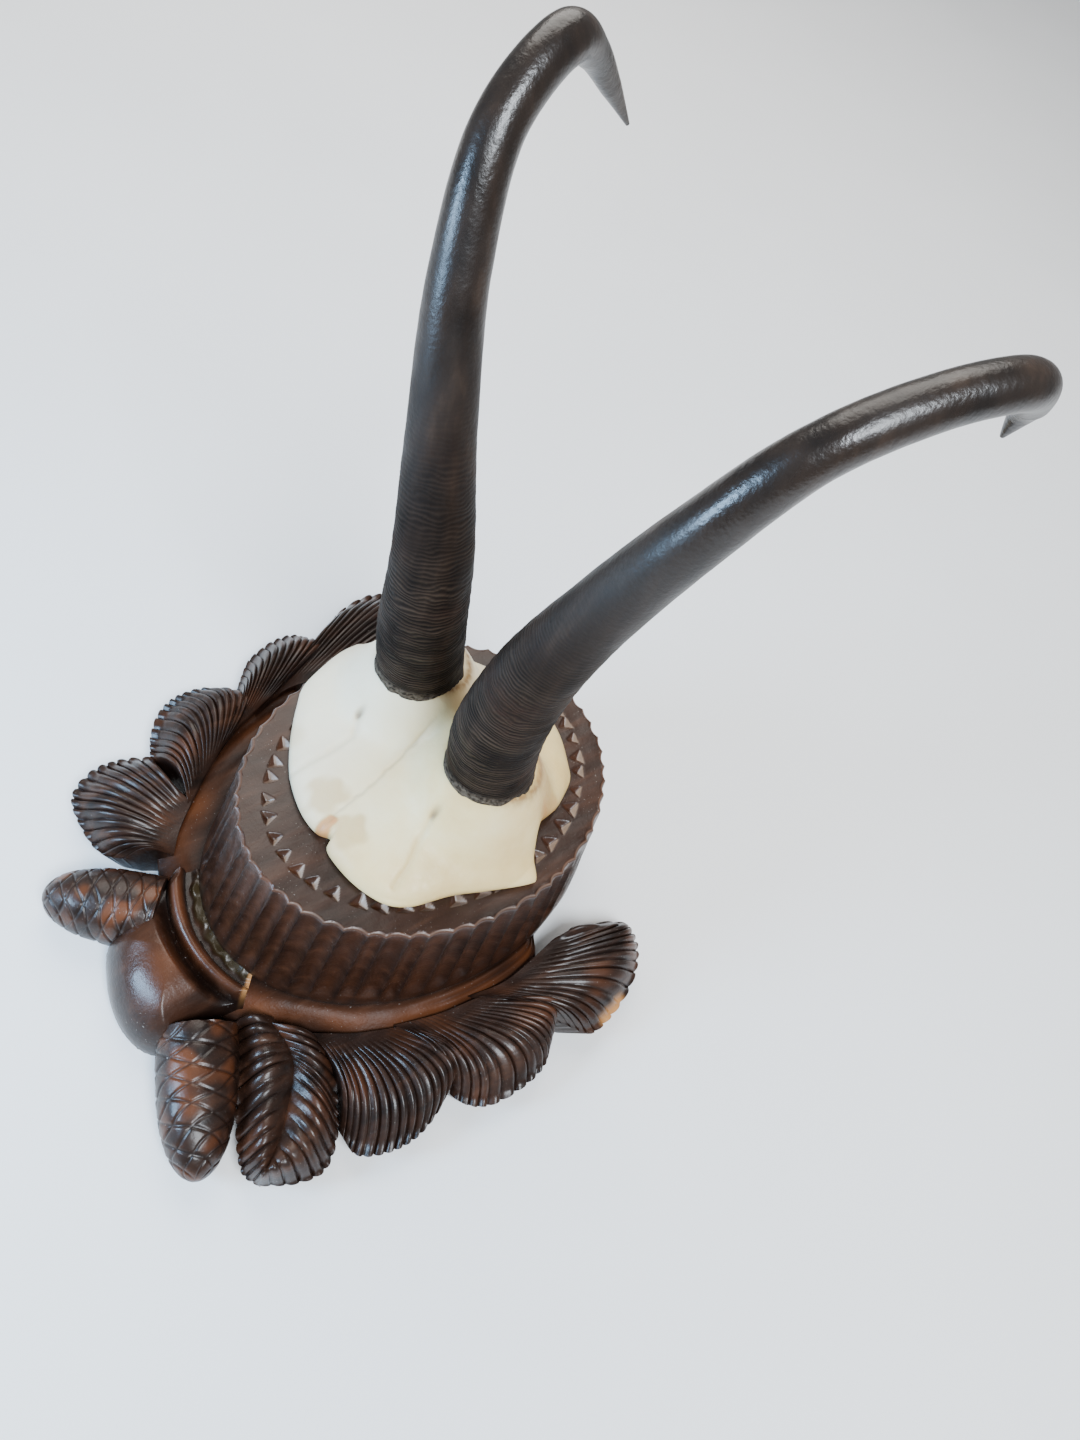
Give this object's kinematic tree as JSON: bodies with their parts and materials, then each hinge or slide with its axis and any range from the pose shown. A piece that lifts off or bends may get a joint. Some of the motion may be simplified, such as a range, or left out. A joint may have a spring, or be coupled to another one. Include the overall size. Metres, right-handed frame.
{
  "type": "chamois horn plaque",
  "caption": "Hooked chamois horns on a cut skull plate, carried by a fluted oval wooden drum with a carved wreath of leaves, fir cones and a scroll.",
  "frame": {"origin": "middle of the drum's flat back", "axes": "+X to the plaque's right, +Y to its top, +Z out of the back along the horns"},
  "size_m": [0.1939, 0.1841, 0.2563],
  "materials": {
    "wood": "dark stained walnut, waxed, worn on the high spots",
    "bone": "dry bleached bone, matt, with tan stains",
    "horn": "near-black horn, ringed at the base and polished towards the tip"
  },
  "bodies": {
    "root": {"fluted_drum": "wood", "scroll": "wood", "left_leaf_spray": "wood", "right_leaf_spray": "wood", "left_cone": "wood", "right_cone": "wood", "skull_plate": "bone", "left_horn": "horn", "right_horn": "horn"}
  },
  "joints": []
}
